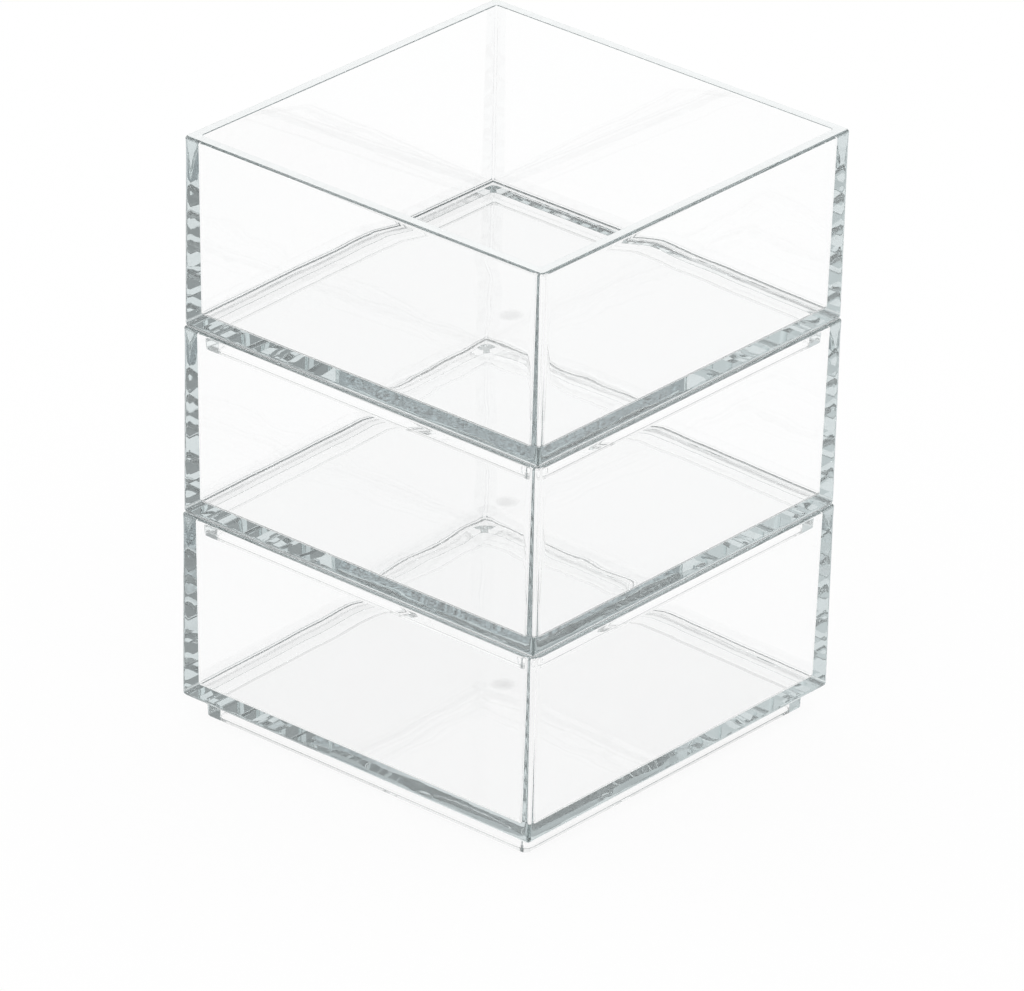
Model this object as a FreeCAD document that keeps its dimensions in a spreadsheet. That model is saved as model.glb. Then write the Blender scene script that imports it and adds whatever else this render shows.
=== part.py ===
import FreeCAD, Part
import math
import os

import Sketcher

# A stack of three identical clear square trays. Each tray is one moulding: four walls, a flat thick floor, and
# a foot under the floor that drops inside the rim of the tray below. The foot is solid but for a shallow square
# hollow, so the tray stands on a ring. Millimetres, +Z up, with the origin on the surface the stack stands on,
# under its middle.

doc = FreeCAD.newDocument("tray_stack")

# Driving dimensions: alias, size, what it is on a tray
DIMENSIONS = [
    ("rim_width", 101.6, "outer width over the rim"),
    ("neck_width", 101.36, "outer width where the flare under the rim begins"),
    ("shoulder_width", 101.1, "outer width at the bottom of the walls"),
    ("outer_corner", 1.2, "radius of the upright outer corners"),
    ("mouth_width", 95.8, "inner width at the rim"),
    ("floor_width", 94.1, "inner width at the floor"),
    ("inner_corner", 0.75, "radius of the upright inner corners"),
    ("wall_height", 45.0, "shoulder to rim, which is also the step from tray to tray"),
    ("flare_height", 5.0, "height of the flare under the rim"),
    ("floor_thickness", 3.1, "top of the floor above the shoulder"),
    ("foot_height", 5.1, "ring foot, from the shoulder down"),
    ("foot_root_width", 93.8, "outer width of the ring foot at the shoulder"),
    ("foot_tip_width", 93.3, "outer width of the ring foot where it stands"),
    ("foot_corner", 1.2, "radius of the ring foot's outer corners"),
    ("hollow_depth", 2.0, "depth of the shallow hollow inside the ring foot"),
    ("hollow_root_width", 87.7, "width of that hollow at its closed end"),
    ("hollow_tip_width", 87.9, "width of that hollow at its open end"),
    ("hollow_corner", 1.2, "radius of the hollow's corners"),
    ("shoulder_round", 0.9, "rounding of the shoulder's outer edge"),
    ("floor_round", 0.7, "rounding where the walls meet the floor"),
    ("rim_outer_round", 0.8, "rounding of the rim's outer edge"),
    ("rim_inner_round", 0.3, "rounding of the rim's inner edge"),
    ("foot_round", 0.15, "rounding of the ring foot's two edges"),
    ("gate_diameter", 6.0, "faint round mark of the moulding gate, under the middle of the floor"),
    ("gate_depth", 0.15, "depth of that mark"),
]
TRAYS = ["tray_bottom", "tray_middle", "tray_top"]

# An edge or a height counts as being at a place when it is this near, in millimetres
NEAR = 0.01

sheet = doc.addObject("Spreadsheet::Sheet", "dimensions")
for row, (alias, size, meaning) in enumerate(DIMENSIONS, start=1):
    sheet.set(f"A{row}", meaning)
    sheet.set(f"B{row}", str(size))
    sheet.setAlias(f"B{row}", alias)
doc.recompute()


def level_sketch(body, name, height):
    """An empty level sketch of the body, at a height given as an expression."""
    ground = next(plane for plane in body.Origin.OriginFeatures if plane.Role == "XY_Plane")
    sketch = body.newObject("Sketcher::SketchObject", name)
    sketch.AttachmentSupport = [(ground, "")]
    sketch.MapMode = "FlatFace"
    sketch.setExpression("AttachmentOffset.Base.z", height)
    return sketch


def rounded_square(body, name, height, width, corner):
    """A level square with round corners, centred on the Z axis; width and corner are aliases of the sheet."""
    sketch = level_sketch(body, name, height)
    half = sheet.get(width) / 2
    radius = sheet.get(corner)
    straight = half - radius

    def point(x, y):
        return FreeCAD.Vector(x, y, 0)

    # Geometry 0 to 3 is the front, right, back and left side; 4 to 7 is the corner after each of them
    sides = [
        (point(-straight, -half), point(straight, -half)),
        (point(half, -straight), point(half, straight)),
        (point(straight, half), point(-straight, half)),
        (point(-half, straight), point(-half, -straight)),
    ]
    centres = [
        point(straight, -straight),
        point(straight, straight),
        point(-straight, straight),
        point(-straight, -straight),
    ]
    for start, end in sides:
        sketch.addGeometry(Part.LineSegment(start, end), False)
    for turn, centre in enumerate(centres):
        circle = Part.Circle(centre, FreeCAD.Vector(0, 0, 1), radius)
        first = math.radians(90 * turn - 90)
        sketch.addGeometry(Part.ArcOfCircle(circle, first, first + math.radians(90)), False)

    start, end, middle = 1, 2, 3
    origin = -1
    for side in range(4):
        corner_arc = 4 + side
        next_side = (side + 1) % 4
        sketch.addConstraint(Sketcher.Constraint("Tangent", side, end, corner_arc, start))
        sketch.addConstraint(Sketcher.Constraint("Tangent", corner_arc, end, next_side, start))
    for side in (0, 2):
        sketch.addConstraint(Sketcher.Constraint("Horizontal", side))
    for side in (1, 3):
        sketch.addConstraint(Sketcher.Constraint("Vertical", side))
    for corner_arc in (5, 6, 7):
        sketch.addConstraint(Sketcher.Constraint("Equal", 4, corner_arc))
    sketch.addConstraint(Sketcher.Constraint("Symmetric", 4, middle, 6, middle, origin, start))

    across = sketch.addConstraint(Sketcher.Constraint("DistanceX", 3, start, 1, start, 2 * half))
    along = sketch.addConstraint(Sketcher.Constraint("DistanceY", 0, start, 2, start, 2 * half))
    rounding = sketch.addConstraint(Sketcher.Constraint("Radius", 4, radius))
    sketch.setExpression(f"Constraints[{across}]", f"dimensions.{width}")
    sketch.setExpression(f"Constraints[{along}]", f"dimensions.{width}")
    sketch.setExpression(f"Constraints[{rounding}]", f"dimensions.{corner}")
    return sketch


def round_dot(body, name, height, diameter):
    """A level circle on the Z axis; diameter is an alias of the sheet."""
    sketch = level_sketch(body, name, height)
    size = sheet.get(diameter)
    sketch.addGeometry(Part.Circle(FreeCAD.Vector(0, 0, 0), FreeCAD.Vector(0, 0, 1), size / 2), False)
    centre, origin = 3, -1
    sketch.addConstraint(Sketcher.Constraint("Coincident", 0, centre, origin, 1))
    across = sketch.addConstraint(Sketcher.Constraint("Diameter", 0, size))
    sketch.setExpression(f"Constraints[{across}]", f"dimensions.{diameter}")
    return sketch


def ruled_loft(body, kind, name, sections):
    """A straight-sided loft through level sketches, added to the body or cut from it."""
    feature = body.newObject(kind, name)
    feature.Profile = sections[0]
    feature.Sections = sections[1:]
    feature.Ruled = True
    doc.recompute()
    return feature


def edges_at(shape, height, half_width):
    """Names of the level edges of a shape that run round the Z axis at a height and a half width."""
    found = []
    for number, edge in enumerate(shape.Edges, start=1):
        box = edge.BoundBox
        level = abs(box.ZMin - height) < NEAR and abs(box.ZMax - height) < NEAR
        reach = max(abs(box.XMin), abs(box.XMax), abs(box.YMin), abs(box.YMax))
        if level and abs(reach - half_width) < NEAR:
            found.append(f"Edge{number}")
    return found


def rounded(body, name, places, radius):
    """Rounds the loops of edges at the given heights and widths; radius is an alias of the sheet."""
    base = body.Tip
    names = []
    for height, width in places:
        names += edges_at(base.Shape, height, width / 2)
    feature = body.newObject("PartDesign::Fillet", name)
    feature.Base = (base, names)
    feature.setExpression("Radius", f"dimensions.{radius}")
    doc.recompute()
    print(name, "rounds", len(names), "edges")
    return feature


def build_tray(name, level):
    """One tray as a body of its own, standing level trays above the ground."""
    body = doc.addObject("PartDesign::Body", name)
    body.Label = name

    ground = "0 mm"
    shoulder = "dimensions.foot_height"
    hollow_roof = "dimensions.hollow_depth"
    floor = "dimensions.foot_height + dimensions.floor_thickness"
    neck = "dimensions.foot_height + dimensions.wall_height - dimensions.flare_height"
    rim = "dimensions.foot_height + dimensions.wall_height"

    ruled_loft(body, "PartDesign::AdditiveLoft", f"{name}_walls", [
        rounded_square(body, f"{name}_shoulder_outline", shoulder, "shoulder_width", "outer_corner"),
        rounded_square(body, f"{name}_neck_outline", neck, "neck_width", "outer_corner"),
        rounded_square(body, f"{name}_rim_outline", rim, "rim_width", "outer_corner"),
    ])
    ruled_loft(body, "PartDesign::AdditiveLoft", f"{name}_foot", [
        rounded_square(body, f"{name}_foot_root", shoulder, "foot_root_width", "foot_corner"),
        rounded_square(body, f"{name}_foot_tip", ground, "foot_tip_width", "foot_corner"),
    ])
    ruled_loft(body, "PartDesign::SubtractiveLoft", f"{name}_inside", [
        rounded_square(body, f"{name}_floor_outline", floor, "floor_width", "inner_corner"),
        rounded_square(body, f"{name}_mouth_outline", rim, "mouth_width", "inner_corner"),
    ])
    ruled_loft(body, "PartDesign::SubtractiveLoft", f"{name}_hollow", [
        rounded_square(body, f"{name}_hollow_root", hollow_roof, "hollow_root_width", "hollow_corner"),
        rounded_square(body, f"{name}_hollow_tip", ground, "hollow_tip_width", "hollow_corner"),
    ])

    shoulder_z = sheet.foot_height
    floor_z = shoulder_z + sheet.floor_thickness
    rim_z = shoulder_z + sheet.wall_height
    rounded(body, f"{name}_shoulder_edge", [(shoulder_z, sheet.shoulder_width)], "shoulder_round")
    rounded(body, f"{name}_floor_edge", [(floor_z, sheet.floor_width)], "floor_round")
    rounded(body, f"{name}_rim_outer_edge", [(rim_z, sheet.rim_width)], "rim_outer_round")
    rounded(body, f"{name}_rim_inner_edge", [(rim_z, sheet.mouth_width)], "rim_inner_round")
    rounded(body, f"{name}_foot_edges", [(0, sheet.foot_tip_width), (0, sheet.hollow_tip_width)], "foot_round")

    gate_mark = body.newObject("PartDesign::Pocket", f"{name}_gate_mark")
    gate_mark.Profile = round_dot(body, f"{name}_gate_circle", hollow_roof, "gate_diameter")
    gate_mark.Reversed = True
    gate_mark.setExpression("Length", "dimensions.gate_depth")
    doc.recompute()
    removed = gate_mark.BaseFeature.Shape.Volume - gate_mark.Shape.Volume
    print(gate_mark.Name, "removes", round(removed, 3), "mm3")

    body.setExpression("Placement.Base.z", f"{level} * dimensions.wall_height")
    return body


trays = [build_tray(name, level) for level, name in enumerate(TRAYS)]
doc.recompute()

for item in doc.Objects:
    if {"Invalid", "Error"} & set(item.State):
        raise RuntimeError(f"{item.Name} failed: {item.State}")

os.makedirs("parts", exist_ok=True)
for tray in trays:
    if tray.Shape.isNull() or not tray.Shape.isValid() or len(tray.Shape.Solids) != 1:
        raise RuntimeError(f"{tray.Label} is not one valid solid")
    tray.Shape.exportStep(f"parts/{tray.Label}.step")
    box = tray.Shape.BoundBox
    print(tray.Label, "volume", round(tray.Shape.Volume, 1), "mm3, z", round(box.ZMin, 2), "to", round(box.ZMax, 2))
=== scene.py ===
# %% [markdown]
# # A stack of clear drawer trays
#
# The object is a stack of three square trays, each one moulding of crystal clear plastic. This script
# dresses them for a photograph. Clear plastic has hardly any colour of its own: what the eye reads are thin
# lines, where a wall, a rim or the edge of the floor bends the light of the room. So the work goes into
# three things: a very clean mesh with true roundings, one clear material, and a room with light and dark
# parts for the edges to pick up.
#
# The first step loads the fixed frame, the three trays as they were constructed. They are measured and
# never changed; finer trays made below take their places.

# %% Load the frame
import bpy
import math
from mathutils import Matrix, Vector, noise


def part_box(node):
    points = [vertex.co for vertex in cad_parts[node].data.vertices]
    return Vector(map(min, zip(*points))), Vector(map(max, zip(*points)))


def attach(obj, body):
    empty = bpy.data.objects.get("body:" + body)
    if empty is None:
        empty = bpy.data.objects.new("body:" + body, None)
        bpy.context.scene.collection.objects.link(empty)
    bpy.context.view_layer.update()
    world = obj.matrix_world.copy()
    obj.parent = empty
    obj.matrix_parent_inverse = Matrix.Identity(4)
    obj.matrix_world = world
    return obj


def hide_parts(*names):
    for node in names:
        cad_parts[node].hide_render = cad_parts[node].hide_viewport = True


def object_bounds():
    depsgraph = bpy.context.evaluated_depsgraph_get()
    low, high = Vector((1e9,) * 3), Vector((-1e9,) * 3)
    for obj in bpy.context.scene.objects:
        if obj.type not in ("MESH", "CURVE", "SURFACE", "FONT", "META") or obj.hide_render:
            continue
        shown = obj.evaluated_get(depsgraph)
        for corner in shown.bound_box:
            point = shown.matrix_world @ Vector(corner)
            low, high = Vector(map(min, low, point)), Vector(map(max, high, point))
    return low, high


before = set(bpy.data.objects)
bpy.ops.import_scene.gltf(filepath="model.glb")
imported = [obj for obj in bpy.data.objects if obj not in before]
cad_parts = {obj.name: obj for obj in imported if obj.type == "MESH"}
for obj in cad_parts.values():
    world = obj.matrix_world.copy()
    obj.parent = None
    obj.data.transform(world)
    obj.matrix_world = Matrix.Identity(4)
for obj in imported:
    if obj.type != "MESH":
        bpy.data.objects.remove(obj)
frame_low, frame_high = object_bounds()

# %% [markdown]
# The trays are alike, so every size is read once. The outside sizes come straight from the frame: how wide
# a tray is over its rim, how tall it is, and how far apart two trays of the stack sit. That distance is
# less than a tray's height, because a foot under each tray drops inside the rim of the tray below.

# %% Sizes that the frame gives
MM = 0.001
TRAY_OF_BODY = {"bottom": "tray_bottom", "middle": "tray_middle", "top": "tray_top"}

low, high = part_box("tray_bottom")
next_low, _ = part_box("tray_middle")
rim_width = high[0] - low[0]
rim_z = high[2]
step_up = next_low[2] - low[2]
foot_height = rim_z - step_up
print("tray, mm: width", round(rim_width / MM, 2), "height", round(rim_z / MM, 2),
      "foot", round(foot_height / MM, 2))

# %% [markdown]
# The sizes inside the moulding aren't visible in an outer box, so they are written here, the same as in the
# construction. A tray's walls lean outward by a degree or so, which lets the moulding leave its mould, and
# the inside leans more than the outside, so a wall gets thinner toward the rim.

# %% Sizes of the moulding
NECK_WIDTH = 101.36 * MM
SHOULDER_WIDTH = 101.1 * MM
OUTER_CORNER = 1.2 * MM
FLARE_HEIGHT = 5.0 * MM
MOUTH_WIDTH = 95.8 * MM
FLOOR_WIDTH = 94.1 * MM
INNER_CORNER = 0.75 * MM
FLOOR_THICKNESS = 3.1 * MM
SHOULDER_ROUND = 0.9 * MM
FLOOR_ROUND = 0.7 * MM
RIM_OUTER_ROUND = 0.8 * MM
RIM_INNER_ROUND = 0.3 * MM

floor_z = foot_height + FLOOR_THICKNESS
neck_z = rim_z - FLARE_HEIGHT
print("wall, mm:", round((rim_width - MOUTH_WIDTH) / 2 / MM, 2), "at the rim,",
      round((SHOULDER_WIDTH - FLOOR_WIDTH) / 2 / MM, 2), "at the floor")

# %% [markdown]
# ## A tray as a pile of rings
#
# A tray could be made from a cube with an Inset, a Bevel and a Boolean. Clear plastic shows every flaw of
# such a mesh, because light crosses several faces on its way to the eye. Here each tray is a pile of rings
# instead. A ring is a level square with round corners. The rings follow the tray's cross section, from the
# middle of the floor out, up the inside, over the rim, down the outside, round the foot and back to the
# middle underneath, and faces join each ring to the next. The mesh is then all even strips, with no stray
# edges.
#
# A ring's points sit closer together near its corners, where the form turns.

# %% One ring
SIDE_POINTS = 56
CORNER_POINTS = 8
RING_POINTS = 4 * (SIDE_POINTS + CORNER_POINTS)


def ring(half, corner, z):
    """Points of a level square with round corners, anticlockwise: half width, corner radius, height."""
    straight = half - corner
    points = []
    for side in range(4):
        turned = Matrix.Rotation(math.radians(90 * side), 3, "Z")
        for step in range(SIDE_POINTS):
            even = 2 * step / SIDE_POINTS - 1
            crowded = -math.cos(math.pi * step / SIDE_POINTS)
            points.append(turned @ Vector((straight * (even + crowded) / 2, -half, z)))
        for step in range(CORNER_POINTS):
            angle = math.radians(90 * step / CORNER_POINTS - 90)
            offset = Vector((math.cos(angle), math.sin(angle), 0)) * corner
            points.append(turned @ (Vector((straight, -straight, z)) + offset))
    return points


print("points in a ring:", RING_POINTS)

# %% [markdown]
# Most of the cross section is straight runs and quarter rounds, so two helpers make the rings for those.
# Each ring is written as half its width, its corner radius and its height.
#
# Smooth shading averages the directions of neighbouring faces. Where a round meets a long straight run that
# average would tilt the flat wall a little, and the wall would bend light like a lens. So a run starts and
# ends with one extra ring very close to its end, called a support ring, which keeps the flat part flat. On
# a short run it is a quarter of a piece away at the most.

# %% Runs and rounds
SUPPORT = 0.04 * MM
SUPPORT_SHARE = 0.25
ROUND_STEPS = 6


def run(start, end, pieces):
    """Rings along a straight run between two rings, both ends included, with a support ring at each end."""
    length = (Vector(end) - Vector(start)).length
    close = min(SUPPORT / length, SUPPORT_SHARE / pieces)
    shares = [0, close] + [step / pieces for step in range(1, pieces)] + [1 - close, 1]
    return [tuple(Vector(start).lerp(Vector(end), share)) for share in shares]


def quarter(centre, corner, radius, first, last, steps=ROUND_STEPS):
    """Rings of a round between two angles of the cross section, where 0 points outward and 90 up."""
    half, z = centre
    rings = []
    for step in range(1, steps):
        angle = math.radians(first + (last - first) * step / steps)
        outward = radius * math.cos(angle)
        rings.append((half + outward, corner + outward, z + radius * math.sin(angle)))
    return rings


print("a quarter round has", ROUND_STEPS, "steps")

# %% [markdown]
# ## The inside of a tray
#
# A flat floor, a round where it meets the walls, and plain walls up to the rim. Rings on the flat floor
# shrink toward the middle like the ripples of a square pond, down to a tenth of its width, where a small
# flat lid will close it.

# %% Inside rings
FLOOR_RINGS = 22
WALL_RINGS = 36
FLOOR_LID = 0.1

floor_half = FLOOR_WIDTH / 2
mouth_half = MOUTH_WIDTH / 2


def inner_half(z):
    """Half the inner width at a height; the wall leans outward in a straight line."""
    return floor_half + (mouth_half - floor_half) * (z - floor_z) / (rim_z - floor_z)


def inside_rings():
    """Rings from the middle of the floor to just under the rim."""
    flat_half = floor_half - FLOOR_ROUND
    flat_corner = INNER_CORNER - FLOOR_ROUND
    middle = (flat_half * FLOOR_LID, flat_corner * FLOOR_LID, floor_z)
    rings = run(middle, (flat_half, flat_corner, floor_z), FLOOR_RINGS)
    rings += quarter((flat_half, floor_z + FLOOR_ROUND), flat_corner, FLOOR_ROUND, -90, 0)
    start, end = floor_z + FLOOR_ROUND, rim_z - RIM_INNER_ROUND
    rings += run((inner_half(start), INNER_CORNER, start), (inner_half(end), INNER_CORNER, end), WALL_RINGS)
    return rings


print("inside:", len(inside_rings()), "rings")

# %% [markdown]
# ## The rim and the outside
#
# The rim is narrow and flat with two small roundings. Just under it the outside flares a little, which
# gives the bright line under the rim. Lower down the wall is straight to the shoulder, the rounded lower
# edge that rests on the rim of the tray below.
#
# A hair's breadth of air is left under the shoulder. Two trays standing on each other never touch all over,
# and that film of air is what makes the joint between them glitter.

# %% Outside rings
AIR_UNDER_SHOULDER = 0.03 * MM
FLARE_RINGS = 8
FLAT_RINGS = 3

shoulder_z = foot_height + AIR_UNDER_SHOULDER


def outer_half(z):
    """Half the outer width at a height: straight up to the neck, then a flare that curves out to the rim."""
    lean = (NECK_WIDTH - SHOULDER_WIDTH) / 2 / (neck_z - foot_height)
    if z <= neck_z:
        return SHOULDER_WIDTH / 2 + lean * (z - foot_height)
    along = (z - neck_z) / FLARE_HEIGHT
    rise = (rim_width - NECK_WIDTH) / 2
    straight = lean * FLARE_HEIGHT
    return NECK_WIDTH / 2 + straight * along + (rise - straight) * along ** 2


def rim_rings():
    """Rings over the flat rim, with its two small roundings."""
    inner, outer = inner_half(rim_z) + RIM_INNER_ROUND, outer_half(rim_z) - RIM_OUTER_ROUND
    inner_corner, outer_corner = INNER_CORNER + RIM_INNER_ROUND, OUTER_CORNER - RIM_OUTER_ROUND
    rings = quarter((inner, rim_z - RIM_INNER_ROUND), inner_corner, RIM_INNER_ROUND, 180, 90)
    rings += run((inner, inner_corner, rim_z), (outer, outer_corner, rim_z), FLAT_RINGS)
    rings += quarter((outer, rim_z - RIM_OUTER_ROUND), outer_corner, RIM_OUTER_ROUND, 90, 0)
    return rings


def outside_rings():
    """Rings from under the rim down to the round of the shoulder."""
    rings = []
    top, bottom = rim_z - RIM_OUTER_ROUND, shoulder_z + SHOULDER_ROUND
    for step in range(FLARE_RINGS):
        z = top + (neck_z - top) * step / FLARE_RINGS
        rings.append((outer_half(z), OUTER_CORNER, z))
    neck = (outer_half(neck_z), OUTER_CORNER, neck_z)
    rings += run(neck, (outer_half(bottom), OUTER_CORNER, bottom), WALL_RINGS)
    centre = (outer_half(bottom) - SHOULDER_ROUND, bottom)
    rings += quarter(centre, OUTER_CORNER - SHOULDER_ROUND, SHOULDER_ROUND, 0, -90)
    return rings


print("rim:", len(rim_rings()), "rings; outside:", len(outside_rings()), "rings")

# %% [markdown]
# ## The foot
#
# Under the floor is a square foot, set in from the walls. It stands on the ground, or drops inside the rim
# of the tray below and keeps the trays in line. The foot is solid but for a shallow square hollow
# underneath, so a tray stands on a narrow ring, which is easier to mould level than a broad flat. The two
# lower edges of that ring are nearly sharp, so they hardly show through the plastic.

# %% Foot rings
FOOT_ROOT_WIDTH = 93.8 * MM
FOOT_TIP_WIDTH = 93.3 * MM
FOOT_CORNER = 1.2 * MM
HOLLOW_ROOT_WIDTH = 87.7 * MM
HOLLOW_TIP_WIDTH = 87.9 * MM
HOLLOW_CORNER = 1.2 * MM
HOLLOW_DEPTH = 2.0 * MM
FOOT_ROUND = 0.15 * MM
FOOT_RINGS = 4
HOLLOW_LID = 0.15


def between(tip_width, root_width, share):
    """Half the width part of the way from the foot's tip on the ground to its root."""
    return (tip_width + (root_width - tip_width) * share) / 2


def foot_rings():
    """Rings under the shoulder, down the outside of the foot and round its lower edge."""
    shoulder_edge = outer_half(shoulder_z) - SHOULDER_ROUND
    upper = (FOOT_ROOT_WIDTH / 2, FOOT_CORNER, shoulder_z)
    rings = run((shoulder_edge, OUTER_CORNER - SHOULDER_ROUND, shoulder_z), upper, FLAT_RINGS)
    lower_half = between(FOOT_TIP_WIDTH, FOOT_ROOT_WIDTH, FOOT_ROUND / foot_height)
    rings += run(upper, (lower_half, FOOT_CORNER, FOOT_ROUND), FOOT_RINGS)[1:]
    centre = (FOOT_TIP_WIDTH / 2 - FOOT_ROUND, FOOT_ROUND)
    rings += quarter(centre, FOOT_CORNER - FOOT_ROUND, FOOT_ROUND, 0, -90)
    return rings


def hollow_rings():
    """Rings over the flat that the foot stands on, up inside it and in toward the mark in the middle."""
    outer = (FOOT_TIP_WIDTH / 2 - FOOT_ROUND, FOOT_CORNER - FOOT_ROUND, 0)
    inner = (HOLLOW_TIP_WIDTH / 2 + FOOT_ROUND, HOLLOW_CORNER + FOOT_ROUND, 0)
    rings = run(outer, inner, FLAT_RINGS)
    rings += quarter((inner[0], FOOT_ROUND), inner[1], FOOT_ROUND, 270, 180)
    lower_half = between(HOLLOW_TIP_WIDTH, HOLLOW_ROOT_WIDTH, FOOT_ROUND / HOLLOW_DEPTH)
    upper = (HOLLOW_ROOT_WIDTH / 2, HOLLOW_CORNER, HOLLOW_DEPTH)
    rings += run((lower_half, HOLLOW_CORNER, FOOT_ROUND), upper, FOOT_RINGS)
    middle = (upper[0] * HOLLOW_LID, upper[1] * HOLLOW_LID, HOLLOW_DEPTH)
    return rings + run(upper, middle, FLOOR_RINGS)[1:]


print("foot:", len(foot_rings()) + len(hollow_rings()), "rings")

# %% [markdown]
# ## The gate mark
#
# The melted plastic enters the mould at one place, under the middle of the floor. On the real tray that
# leaves a faint round mark. Here it is a very shallow dish, a few hundredths of a millimetre deep, made of
# circles whose points face those of the square rings, so the faces between them stay even.

# %% Rings of the gate mark
GATE_WIDTH = 6.0 * MM
GATE_DEPTH = 0.05 * MM
GATE_RINGS = 8


def circle(radius, z):
    """Points of a level circle, each in the direction of the same point of a square ring."""
    points = []
    for place in ring(FLOOR_WIDTH / 2, INNER_CORNER, 0):
        points.append(place.normalized() * radius + Vector((0, 0, z)))
    return points


def gate_circles():
    """Circles from the edge of the gate mark to its middle, dipping up into the floor like a dish."""
    circles = []
    for step in range(GATE_RINGS + 1):
        inward = step / (GATE_RINGS + 1)
        depth = GATE_DEPTH * (0.5 - 0.5 * math.cos(math.pi * inward))
        circles.append(circle(GATE_WIDTH / 2 * (1 - inward), HOLLOW_DEPTH + depth))
    return circles


print("gate mark:", len(gate_circles()), "circles")

# %% [markdown]
# ## Faint waves in the surfaces
#
# No moulded wall is perfectly flat. The plastic flows and shrinks, and leaves waves of a hundredth of a
# millimetre. They can't be felt, but wherever light runs along inside a wall they turn its edge into light
# and dark streaks. The waves could be painted with a bump in the material. Moving the points themselves
# keeps the light true when it passes both sides of a wall, so that is done here, with a smooth noise that
# is different for each tray.

# %% Waves
WAVE_HEIGHT = 0.006 * MM
WAVE_LENGTH = 9.0 * MM
NEXT_WAVES = Vector((37.0, 11.0, 5.0))


def add_waves(mesh, seed):
    """Moves every point of a mesh a little along its normal; another seed reads another part of the noise."""
    shift = NEXT_WAVES * seed
    moves = [vertex.normal * noise.noise(vertex.co / WAVE_LENGTH + shift) for vertex in mesh.vertices]
    for vertex, move in zip(mesh.vertices, moves):
        vertex.co += move * WAVE_HEIGHT * 2
    return max(move.length for move in moves) * WAVE_HEIGHT * 2


print("waves:", round(WAVE_HEIGHT / MM, 4), "mm high,", round(WAVE_LENGTH / MM, 1), "mm long")

# %% [markdown]
# ## One tray
#
# Now the lists of rings are put in one row. The last ring of a list often lies on the first of the next
# one, and two rings in one place would make faces without any area, so the second is dropped.

# %% All rings of a tray
SAME_PLACE = 0.001 * MM


def tray_rings():
    """Every ring of the cross section once, in order, from the middle of the floor to the hollow below it."""
    rings = []
    for place in inside_rings() + rim_rings() + outside_rings() + foot_rings() + hollow_rings():
        if not rings or (Vector(place) - Vector(rings[-1])).length > SAME_PLACE:
            rings.append(place)
    return rings


print("a tray has", len(tray_rings()), "rings and", len(gate_circles()), "circles")

# %% [markdown]
# Two places of a tray aren't quite clear. The flat of the rim, on which other trays are set down, reads as
# a white line; here that line is a painted highlight, a matt white that stands in for the reflection of a
# bright light above the trays. The gate mark, where the plastic was cut off, is a little rough, and looks
# like a pale smudge. The shape can't say that, so every face carries a number of its own: 1 on the flat of
# the rim, a small number on the gate mark that fades toward its edge, and 0 everywhere else. The material
# reads the number later. Two materials could do the same, but a number can also fade.

# %% The rim's painted highlight and the rough gate mark
RIM_FLATNESS = 0.02 * MM
FACES_UP = 0.9
GATE_SCUFF = 0.25


def mark_scuff_and_highlight(mesh):
    """Marks the rim's flat with 1 for its painted highlight, the rough gate mark with less, the rest with 0;
    counts the marked faces.
    """
    marks = mesh.attributes.new("scuff_and_highlight", "FLOAT", "FACE")
    for face, mark in zip(mesh.polygons, marks.data):
        on_rim = face.center.z > rim_z - RIM_FLATNESS and face.normal.z > FACES_UP
        from_middle = face.center.xy.length / (GATE_WIDTH / 2)
        on_gate = from_middle < 1 and face.center.z < HOLLOW_DEPTH + 2 * GATE_DEPTH
        gate_scuff = GATE_SCUFF * (1 - from_middle ** 2) if on_gate else 0.0
        # On the rim's flat the mark is a painted highlight; on the gate mark it is roughness.
        mark.value = 1.0 if on_rim else gate_scuff
    return sum(1 for mark in marks.data if mark.value)


# On the rim the 1 is a painted highlight; on the gate mark the number is roughness.
print("the gate mark is scuffed by", GATE_SCUFF, "in its middle, the rim by 1")

# %% [markdown]
# Everything comes together in one function. It joins each ring to the next with a band of faces, marks the
# rim's painted highlight and the rough gate mark, adds the waves, and keeps edges sharp where the form turns
# by more than 30 degrees.

# %% The mesh of a tray
SHARP_TURN = math.radians(30)


def tray_mesh(name, seed):
    """A closed mesh of one tray, standing with its foot on z = 0."""
    loops = [ring(*place) for place in tray_rings()] + gate_circles()
    points = [point for loop in loops for point in loop]
    faces = []
    for first in range(0, len(points) - RING_POINTS, RING_POINTS):
        for step in range(RING_POINTS):
            here, after = first + step, first + (step + 1) % RING_POINTS
            faces.append((here, here + RING_POINTS, after + RING_POINTS, after))
    faces.append(tuple(range(RING_POINTS)))
    faces.append(tuple(reversed(range(len(points) - RING_POINTS, len(points)))))
    mesh = bpy.data.meshes.new(name)
    mesh.from_pydata(points, [], faces)
    mesh.polygons.foreach_set("use_smooth", [True] * len(faces))
    mesh.update()
    # The marked faces are the rim's painted highlight and the rough gate mark.
    marked = mark_scuff_and_highlight(mesh)
    moved = add_waves(mesh, seed)
    mesh.set_sharp_from_angle(angle=SHARP_TURN)
    mesh.update()
    print(name, len(mesh.polygons), "faces,", marked, "scuffed, waves up to", round(moved / MM, 4), "mm")
    return mesh


print("edges stay sharp from", round(math.degrees(SHARP_TURN)), "degrees")

# %% [markdown]
# The three trays are alike but for their waves. Each is a piece of its own that rides on the body of the
# tray it replaces, so it can be lifted off by itself.

# %% Three trays
trays = []
for level, (body, node) in enumerate(TRAY_OF_BODY.items()):
    tray = bpy.data.objects.new(f"clear_{node}", tray_mesh(f"clear_{node}", level + 1))
    tray.location.z = level * step_up
    bpy.context.collection.objects.link(tray)
    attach(tray, body)
    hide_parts(node)
    trays.append(tray)

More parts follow.
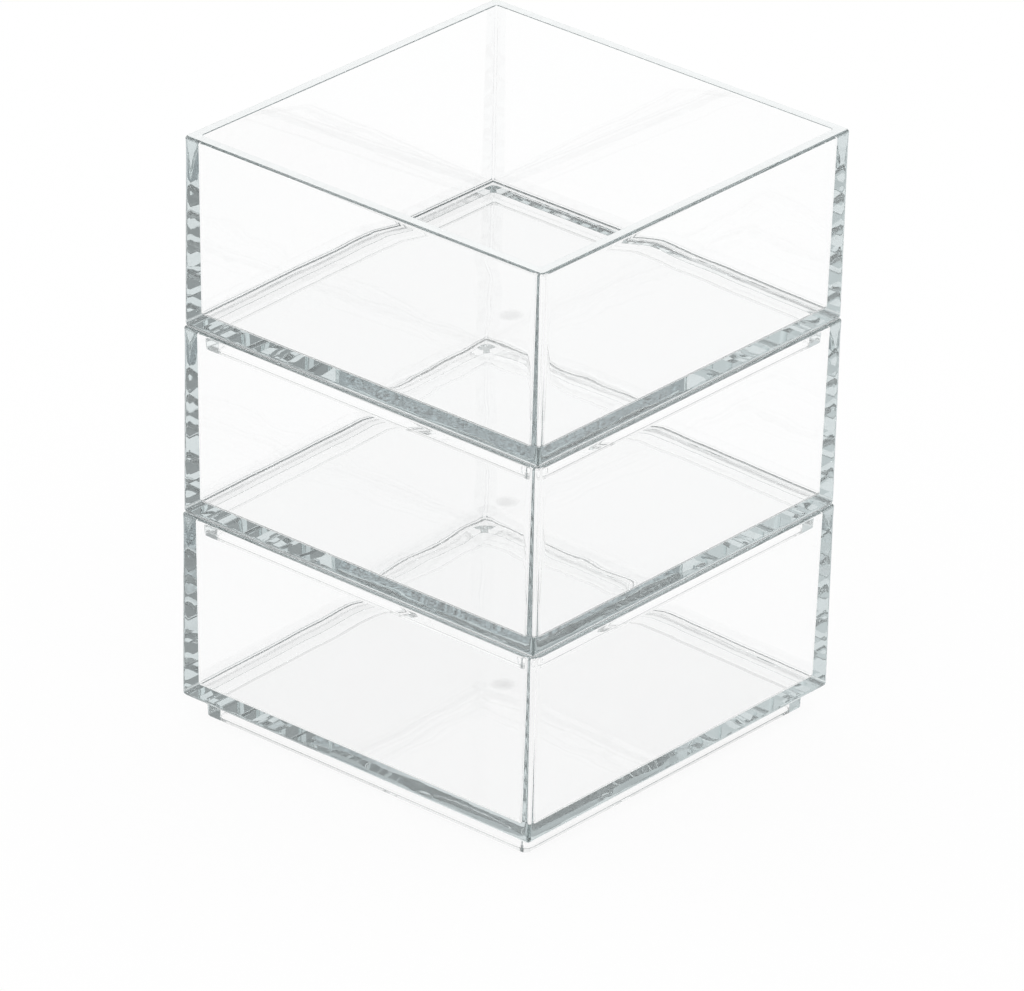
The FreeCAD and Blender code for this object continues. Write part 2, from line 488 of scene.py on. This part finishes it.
# %% [markdown]
# ## A painted rim highlight, the gate mark and polish
#
# The clear plastic needs two additions, and they are made first, each in a function of its own.
#
# Where a face is marked, a matt white Diffuse shader covers the clear one. On the flat of the rim this is a
# painted highlight, a white that stands in for the reflection of a bright light above; on the gate mark it is
# the roughness. An Attribute node reads the number of the face, and a Mix Shader weighs the two. A rougher
# clear plastic would be another way, but fine scratches scatter nearly all the light that meets them, and
# the matt shader shows that with less grain.

# %% Painted rim highlight and gate roughness over the clear plastic
SCUFF_AND_HIGHLIGHT_WHITE = (0.95, 0.97, 0.97, 1)
SCUFF_AND_HIGHLIGHT_COVER = 0.9


def scuff_and_highlight_over(nodes, links, clear):
    """A matt white over a clear shader, as far as a face is marked: a painted highlight on the rim, roughness
    on the gate mark; returns the shader.
    """
    scuff_and_highlight_white = nodes.new("ShaderNodeBsdfDiffuse")
    scuff_and_highlight_white.inputs["Color"].default_value = SCUFF_AND_HIGHLIGHT_WHITE
    number = nodes.new("ShaderNodeAttribute")
    number.attribute_name = "scuff_and_highlight"
    cover = nodes.new("ShaderNodeMath")
    cover.operation = "MULTIPLY"
    cover.inputs[1].default_value = SCUFF_AND_HIGHLIGHT_COVER
    links.new(number.outputs["Fac"], cover.inputs[0])
    scuff_and_highlight_mix = nodes.new("ShaderNodeMixShader")
    links.new(cover.outputs["Value"], scuff_and_highlight_mix.inputs["Fac"])
    links.new(clear, scuff_and_highlight_mix.inputs[1])
    links.new(scuff_and_highlight_white.outputs["BSDF"], scuff_and_highlight_mix.inputs[2])
    return scuff_and_highlight_mix.outputs["Shader"]


# The cover is that of the rim's painted highlight and of the rough gate mark.
print("scuffs cover up to", SCUFF_AND_HIGHLIGHT_COVER, "of the clear plastic")

# %% [markdown]
# A mould is polished, and the plastic takes on the faint ripples that the polishing leaves. They are about
# three millimetres wide and shallower than the waves, too fine for the points of the mesh, so a noise feeds
# a Bump node instead. The noise reads the place on the tray itself, which keeps it fixed while a tray is
# lifted.

# %% Ripples of the polish
POLISH_WIDTH = 3.0 * MM
POLISH_DEPTH = 0.0015 * MM


def polish(nodes, links):
    """Faint ripples of the mould's polish; returns the bumped normal."""
    place = nodes.new("ShaderNodeTexCoord")
    ripples = nodes.new("ShaderNodeTexNoise")
    ripples.inputs["Scale"].default_value = 1 / POLISH_WIDTH
    ripples.inputs["Detail"].default_value = 1.0
    links.new(place.outputs["Object"], ripples.inputs["Vector"])
    bump = nodes.new("ShaderNodeBump")
    bump.inputs["Strength"].default_value = 1.0
    bump.inputs["Distance"].default_value = POLISH_DEPTH
    links.new(ripples.outputs["Fac"], bump.inputs["Height"])
    return bump.outputs["Normal"]


print("ripples:", round(POLISH_WIDTH / MM, 1), "mm wide,", round(POLISH_DEPTH / MM, 4), "mm deep")

# %% [markdown]
# ## Clear plastic
#
# Clear polystyrene bends light strongly, more than window glass. It swallows a little red light on the way,
# so long paths inside a wall come out faintly green-grey while the thin walls stay colourless. The surface
# is the Principled shader with full transmission. The inside is a Volume Absorption with a low density,
# which tints by distance, as the real thing does; a tint on the surface would colour thin and thick parts
# alike.

# %% The material
PLASTIC_INDEX = 1.59
ABSORPTION_DENSITY = 1.0
ABSORPTION_COLOUR = (0.0, 0.35, 0.35, 1)


def clear_plastic():
    """A clear, faintly green-grey plastic with a polished surface, a painted highlight in matt white on the
    rim's flat, and white on the rough gate mark.
    """
    material = bpy.data.materials.new("clear_plastic")
    material.use_nodes = True
    nodes, links = material.node_tree.nodes, material.node_tree.links
    nodes.clear()
    output = nodes.new("ShaderNodeOutputMaterial")

    surface = nodes.new("ShaderNodeBsdfPrincipled")
    surface.inputs["Base Color"].default_value = (1, 1, 1, 1)
    surface.inputs["Roughness"].default_value = 0.0
    surface.inputs["IOR"].default_value = PLASTIC_INDEX
    surface.inputs["Transmission Weight"].default_value = 1.0
    links.new(polish(nodes, links), surface.inputs["Normal"])
    links.new(scuff_and_highlight_over(nodes, links, surface.outputs["BSDF"]), output.inputs["Surface"])

    inside = nodes.new("ShaderNodeVolumeAbsorption")
    inside.inputs["Color"].default_value = ABSORPTION_COLOUR
    inside.inputs["Density"].default_value = ABSORPTION_DENSITY
    links.new(inside.outputs["Volume"], output.inputs["Volume"])
    return material


plastic = clear_plastic()
for tray in trays:
    tray.data.materials.append(plastic)
print("material:", plastic.name, "index", PLASTIC_INDEX)

# %% [markdown]
# ## Ahead and leftward
#
# The eye looks at a corner of the trays, not at a side. The ground and the room are described as a
# photographer would: what lies behind the trays, and what lies to the left and to the right of them. Two
# arrows hold these directions. They are fixed in the scene and don't turn with the camera.

# %% Ahead and leftward
CAMERA_YAW = math.radians(49.584)

ahead = Vector((math.sin(CAMERA_YAW), math.cos(CAMERA_YAW), 0))
leftward = Vector((-ahead.y, ahead.x, 0))
print("away from the camera:", tuple(round(part, 3) for part in ahead))

# %% [markdown]
# ## Helpers for the ground and the room
#
# The shaders of the ground and the room have to count and compare, which takes many small nodes. Each helper
# below adds one node and returns its output, so the shaders that follow read almost like sentences.

# %% Small helpers for nodes
WHITE = (1, 1, 1, 1)


def ramp_up(nodes, links, count, start, end):
    """0 up to the start of a count, 1 from its end on, and a straight rise between."""
    rise = nodes.new("ShaderNodeMapRange")
    rise.inputs["From Min"].default_value = start
    rise.inputs["From Max"].default_value = end
    links.new(count, rise.inputs["Value"])
    return rise.outputs["Result"]


def maths(nodes, links, operation, first, second):
    """One step of arithmetic; the first number is a socket, the second a socket or a plain number."""
    step = nodes.new("ShaderNodeMath")
    step.operation = operation
    links.new(first, step.inputs[0])
    if isinstance(second, (int, float)):
        step.inputs[1].default_value = second
    else:
        links.new(second, step.inputs[1])
    return step.outputs["Value"]


def mix_colours(nodes, links, factor, first, second, blend="MIX"):
    """Mixes two colours by a factor; each is a socket or a plain colour."""
    mix = nodes.new("ShaderNodeMix")
    mix.data_type = "RGBA"
    mix.blend_type = blend
    links.new(factor, mix.inputs["Factor"])
    for name, colour in (("A", first), ("B", second)):
        if isinstance(colour, tuple):
            mix.inputs[name].default_value = colour
        else:
            links.new(colour, mix.inputs[name])
    return mix.outputs["Result"]


def how_far(nodes, links, vector, arrow):
    """How far a vector reaches along an arrow."""
    reach = nodes.new("ShaderNodeVectorMath")
    reach.operation = "DOT_PRODUCT"
    reach.inputs[1].default_value = arrow
    links.new(vector, reach.inputs[0])
    return reach.outputs["Value"]


print("helpers: ramp_up, maths, mix_colours, how_far")

# %% [markdown]
# ## Light that runs along inside the walls
#
# The thick edges of a clear tray carry light like a glass rod: a ray is mirrored to and fro inside them
# many times before it gets out, and such edges look dark and grey-green. The renderer's mirror bounces lose
# nothing, so that darkness is painted shade, put in where the ray ends: a ray that has bounced only a few
# times sees the ground and the room as they are, and one that has bounced many times sees them painted
# darker. The Light Path node counts the bounces.
#
# The same node counts the faces of plastic that a ray has passed. Light that has crossed several trays is
# mixed with so much other light that its dark parts wash out, so the painted shade fades again as that
# count grows.
#
# The counts were found by painting the trays with them and holding the result beside the photograph. The
# floors, which stay clear, came out with one bounce, and the dark joints near the viewer with four or five,
# so the dulling sets in between.

# %% Painted shade by bounces
FEW_BOUNCES = 2.5
MANY_BOUNCES = 3.6
PAINTED_SHADE_FACES = (4.2, 6.5)


def near_faces(nodes, links, few, many):
    """1 while a ray has passed few faces of plastic, 0 after many."""
    light_path = nodes.new("ShaderNodeLightPath")
    return ramp_up(nodes, links, light_path.outputs["Transmission Depth"], many, few)


def painted_shade_by_bounces(nodes, links):
    """How much painted shade a ray gets from its bounces: 0 after a few, 1 after many."""
    light_path = nodes.new("ShaderNodeLightPath")
    bounced = ramp_up(nodes, links, light_path.outputs["Glossy Depth"], FEW_BOUNCES, MANY_BOUNCES)
    return maths(nodes, links, "MULTIPLY", bounced, near_faces(nodes, links, *PAINTED_SHADE_FACES))


# The painted shade sets in between these bounce counts.
print("dulled from", FEW_BOUNCES, "to", MANY_BOUNCES, "bounces")

# %% [markdown]
# ## The ground
#
# The trays stand on plain white. A white that comes only from lamps would need so much light that the trays
# burn out, so the ground is white by itself wherever the eye looks at it, straight, mirrored or through the
# plastic. A little of it stays ordinary matt white, which is what lets a soft shadow show.
#
# Light with many bounces sees the ground with painted shade, and it isn't painted alike all over. The
# joints and the near upright edge get their light from the ground straight behind the trays and are dark
# and streaky in the photograph. The outer edges get theirs from the ground under and beside the trays and
# are paler. So the painted shade is dark, with streaks of noise, inside a wedge behind the trays, and a pale
# grey everywhere else. Looked at straight, or through a wall, the ground has no streaks at all.

# %% Streaks of the painted shade on the ground
# Painted shade on the ground, seen only by rays with many bounces.
PAINTED_SHADE_BEHIND = (0.15, 0.18, 0.19, 1)
PAINTED_SHADE_BESIDE = (0.70, 0.74, 0.75, 1)
STREAK_SIZE = 1.2 * MM
STREAK_DETAIL = 4.0
STREAK_ROUGHNESS = 0.65
NOISE_RANGE = (0.36, 0.64)
STREAK_RANGE = (0.05, 2.8)
BEHIND_EDGE = (35 * MM, 75 * MM)


def streaked_painted_shade(nodes, links, position):
    """The dark painted shade with streaks of noise; returns the colour."""
    uneven = nodes.new("ShaderNodeTexNoise")
    uneven.inputs["Scale"].default_value = 1 / STREAK_SIZE
    uneven.inputs["Detail"].default_value = STREAK_DETAIL
    uneven.inputs["Roughness"].default_value = STREAK_ROUGHNESS
    links.new(position, uneven.inputs["Vector"])
    strength = nodes.new("ShaderNodeMapRange")
    strength.inputs["From Min"].default_value = NOISE_RANGE[0]
    strength.inputs["From Max"].default_value = NOISE_RANGE[1]
    strength.inputs["To Min"].default_value = STREAK_RANGE[0]
    strength.inputs["To Max"].default_value = STREAK_RANGE[1]
    links.new(uneven.outputs["Fac"], strength.inputs["Value"])
    colour = nodes.new("ShaderNodeVectorMath")
    colour.operation = "SCALE"
    colour.inputs[0].default_value = PAINTED_SHADE_BEHIND[:3]
    links.new(strength.outputs["Result"], colour.inputs["Scale"])
    return colour.outputs["Vector"]


def painted_shade_ground(nodes, links):
    """The painted shade of the ground: dark and uneven straight behind the trays, pale beside them."""
    position = nodes.new("ShaderNodeNewGeometry").outputs["Position"]
    to_side = nodes.new("ShaderNodeMath")
    to_side.operation = "ABSOLUTE"
    links.new(how_far(nodes, links, position, leftward), to_side.inputs[0])
    forward = how_far(nodes, links, position, ahead)
    wedge = maths(nodes, links, "SUBTRACT", forward, to_side.outputs["Value"])
    in_wedge = ramp_up(nodes, links, wedge, *BEHIND_EDGE)
    return mix_colours(nodes, links, in_wedge, PAINTED_SHADE_BESIDE, streaked_painted_shade(nodes, links, position))


print("streaks", round(STREAK_SIZE / MM, 1), "mm in size, from", round(BEHIND_EDGE[0] / MM), "mm behind")

# %% [markdown]
# The material joins three grounds: a matt white for the light that falls on it, the white that the eye
# sees, and the one with painted shade. A Light Path node tells them apart. What is looked at straight, in a
# mirroring face or through the plastic is the white with its own light, with painted shade for rays with
# many bounces, and everything else meets the matt one.

# %% Ground
GROUND_SIZE = 30.0
GROUND_WHITE = 0.8
GROUND_OWN_LIGHT = 0.93
GROUND_SINKS = 0.05 * MM


def matt(nodes, white):
    """A plain matt shader of a grey; returns the shader."""
    shader = nodes.new("ShaderNodeBsdfDiffuse")
    shader.inputs["Color"].default_value = (white, white, white, 1)
    return shader.outputs["BSDF"]


def ground_material():
    """Mostly its own white where it is looked at, plain matt white to the light that falls on it."""
    material = bpy.data.materials.new("ground")
    material.use_nodes = True
    nodes, links = material.node_tree.nodes, material.node_tree.links
    nodes.clear()
    output = nodes.new("ShaderNodeOutputMaterial")

    glow = nodes.new("ShaderNodeEmission")
    glow.inputs["Strength"].default_value = GROUND_OWN_LIGHT
    # Rays with many bounces see the painted shade in place of the white.
    own = mix_colours(nodes, links, painted_shade_by_bounces(nodes, links), WHITE, painted_shade_ground(nodes, links))
    links.new(own, glow.inputs["Color"])
    looked_at = nodes.new("ShaderNodeAddShader")
    links.new(matt(nodes, 1 - GROUND_OWN_LIGHT), looked_at.inputs[0])
    links.new(glow.outputs["Emission"], looked_at.inputs[1])

    ray = nodes.new("ShaderNodeLightPath").outputs
    through = maths(nodes, links, "MAXIMUM", ray["Is Transmission Ray"], ray["Is Glossy Ray"])
    any_look = maths(nodes, links, "MAXIMUM", ray["Is Camera Ray"], through)
    chosen = nodes.new("ShaderNodeMixShader")
    links.new(any_look, chosen.inputs["Fac"])
    links.new(matt(nodes, GROUND_WHITE), chosen.inputs[1])
    links.new(looked_at.outputs["Shader"], chosen.inputs[2])
    links.new(chosen.outputs["Shader"], output.inputs["Surface"])
    return material


bpy.ops.mesh.primitive_plane_add(size=GROUND_SIZE, location=(0, 0, -GROUND_SINKS))
ground = bpy.context.object
ground.name = "ground"
ground.data.materials.append(ground_material())
print("ground:", GROUND_SIZE, "m wide")

# %% [markdown]
# ## The room
#
# Clear things are lit by what stands around them. A ray that enters an edge of a tray is bounced to and fro
# inside the wall and leaves in some other direction, so every edge shows a different part of the room. With
# white on all sides the trays would vanish. Photographers put a dark panel at one side and leave the other
# side open, and the edges turn into crisp grey lines.
#
# The room is the world shader, and it is the only light: an even white from all sides, as a big tent of
# white cloth gives, with no lamp that could burn out a pale face. To the eye it is plain white. Through the
# plastic it is white from below, where the table is, and bright from above, and in between it depends on
# the side: a grey panel to the right of the camera, a dark stretch high up on the far wall, and a bright
# wall on the left. After many faces of plastic the walls wash out to white as well. Light that has bounced
# off the ground sees white, so the panel doesn't dull the ground under the trays.
#
# A wall of the room is a ramp of greys from the floor line up to the ceiling. A direction's height is its
# z, from -1 straight down to 1 straight up, and a ramp wants 0 to 1.

# %% One wall of the room
FAR_WALL = [(0, 1.0), (18, 1.0), (27, 0.75), (34, 0.15), (60, 0.12), (68, 0.5), (76, 1.0)]
PANEL = [(0, 1.0), (3, 0.4), (20, 0.4), (40, 0.3), (60, 0.2), (72, 1.0)]
OPEN_SIDE = [(0, 1.0), (4, 0.9), (40, 0.75), (72, 1.0)]
WALLS = (FAR_WALL, PANEL, OPEN_SIDE)


def ramp_position(degrees):
    """Where a height above the floor line, in degrees, falls on a ramp from straight down to straight up."""
    return 0.5 + 0.5 * math.sin(math.radians(degrees))


def wall(nodes, links, height, greys):
    """A ramp of greys over the height above the floor line; returns its colour."""
    ramp = nodes.new("ShaderNodeValToRGB")
    links.new(height, ramp.inputs["Fac"])
    stops = ramp.color_ramp.elements
    for stop in stops:
        stop.color = WHITE
    for degrees, grey in greys:
        stops.new(ramp_position(degrees)).color = (grey, grey, grey, 1)
    return ramp.outputs["Color"]


print("greys of the far wall, the panel and the open side:", [len(greys) for greys in WALLS])

# %% [markdown]
# The three walls run softly into each other. How far a direction points to the left is the dot product of
# the direction with the left arrow, and a Map Range node turns that number into a soft blend. Rays with
# many bounces see the walls with painted shade, darker and a little greener, which is a second colour
# multiplied onto them.

# %% The walls together
PANEL_EDGE = (-0.35, -0.65)
OPEN_EDGE = (0.35, 0.65)
PAINTED_SHADE_ROOM = (0.66, 0.72, 0.73, 1)


def soft_step(nodes, links, value, edge):
    """0 before the edge, 1 after it, with a smooth change between."""
    step = nodes.new("ShaderNodeMapRange")
    step.interpolation_type = "SMOOTHSTEP"
    step.inputs["From Min"].default_value = edge[0]
    step.inputs["From Max"].default_value = edge[1]
    links.new(value, step.inputs["Value"])
    return step.outputs["Result"]


def room_walls(nodes, links):
    """The colour of the room in every direction, with painted shade for light with many bounces."""
    direction = nodes.new("ShaderNodeTexCoord").outputs["Generated"]
    parts = nodes.new("ShaderNodeSeparateXYZ")
    links.new(direction, parts.inputs["Vector"])
    height = nodes.new("ShaderNodeMath")
    height.operation = "MULTIPLY_ADD"
    height.inputs[1].default_value = 0.5
    height.inputs[2].default_value = 0.5
    links.new(parts.outputs["Z"], height.inputs[0])
    far_wall, panel, open_side = [wall(nodes, links, height.outputs["Value"], greys) for greys in WALLS]

    side = how_far(nodes, links, direction, leftward)
    walls = mix_colours(nodes, links, soft_step(nodes, links, side, PANEL_EDGE), far_wall, panel)
    walls = mix_colours(nodes, links, soft_step(nodes, links, side, OPEN_EDGE), walls, open_side)
    # Painted shade: rays with many bounces see the walls darker and greener.
    return mix_colours(nodes, links, painted_shade_by_bounces(nodes, links), walls, PAINTED_SHADE_ROOM, blend="MULTIPLY")


panel_start = math.degrees(math.asin(-PANEL_EDGE[0]))
print("the panel begins", round(panel_start), "degrees to the right of straight ahead")

# %% [markdown]
# The walls are seen only through the plastic, by light that hasn't met the ground on its way, and they fade
# to white after many faces. Every other ray, the eye's own too, sees a background of plain white.

# %% The world
SEEN_FACES = (4.0, 10.0)
UNDER_ONE = 0.5


def room():
    """A world that is white to the eye, and a room with a dark panel when seen through the plastic."""
    world = bpy.data.worlds.new("room")
    world.use_nodes = True
    nodes, links = world.node_tree.nodes, world.node_tree.links
    nodes.clear()

    ray = nodes.new("ShaderNodeLightPath").outputs
    not_bounced = maths(nodes, links, "LESS_THAN", ray["Diffuse Depth"], UNDER_ONE)
    through = maths(nodes, links, "MULTIPLY", ray["Is Transmission Ray"], not_bounced)
    walls_seen = maths(nodes, links, "MULTIPLY", through, near_faces(nodes, links, *SEEN_FACES))
    seen = mix_colours(nodes, links, walls_seen, WHITE, room_walls(nodes, links))
    background = nodes.new("ShaderNodeBackground")
    links.new(seen, background.inputs["Color"])
    output = nodes.new("ShaderNodeOutputWorld")
    links.new(background.outputs["Background"], output.inputs["Surface"])
    return world


bpy.context.scene.world = room()
print("world:", bpy.context.scene.world.name)

# %% [markdown]
# ## The camera
#
# The picture is taken with a long lens from about two metres away, looking down by a good 26 degrees, with
# a corner of the trays toward the viewer. The long lens keeps the upright edges nearly parallel. The camera
# leans a little to one side, as the photograph does.

# %% Camera
CAMERA_PITCH = math.radians(26.558)
CAMERA_ROLL = math.radians(1.334)
CAMERA_DISTANCE = 2.0599
LENS = 338.05
SENSOR = 36.0
AIM_BELOW_RIM = Vector((-0.02606, -0.02285, -0.06973))

camera_data = bpy.data.cameras.new("camera")
camera_data.lens = LENS
camera_data.sensor_width = SENSOR
camera = bpy.data.objects.new("camera", camera_data)
bpy.context.collection.objects.link(camera)
turn = Matrix.Rotation(-CAMERA_YAW, 4, "Z") @ Matrix.Rotation(math.radians(90) - CAMERA_PITCH, 4, "X")
turn = turn @ Matrix.Rotation(CAMERA_ROLL, 4, "Z")
view_direction = ahead * math.cos(CAMERA_PITCH) - Vector((0, 0, math.sin(CAMERA_PITCH)))
aim = Vector((0, 0, frame_high.z)) + AIM_BELOW_RIM
camera.matrix_world = Matrix.Translation(aim - view_direction * CAMERA_DISTANCE) @ turn
bpy.context.scene.camera = camera
print("camera at", tuple(round(part, 3) for part in camera.matrix_world.translation))

# %% [markdown]
# ## Light paths and the end
#
# A ray through three trays crosses dozens of surfaces. Blender stops a ray after a few of them and paints
# it black, so the limits go up. The view transform is set to Standard, which shows a white of strength 1 as
# white.

# %% Light paths and view
PATH_LIMIT = 64

scene = bpy.context.scene
scene.cycles.max_bounces = PATH_LIMIT
scene.cycles.glossy_bounces = PATH_LIMIT
scene.cycles.transmission_bounces = PATH_LIMIT
scene.view_settings.view_transform = "Standard"
print("light paths of up to", PATH_LIMIT, "steps")
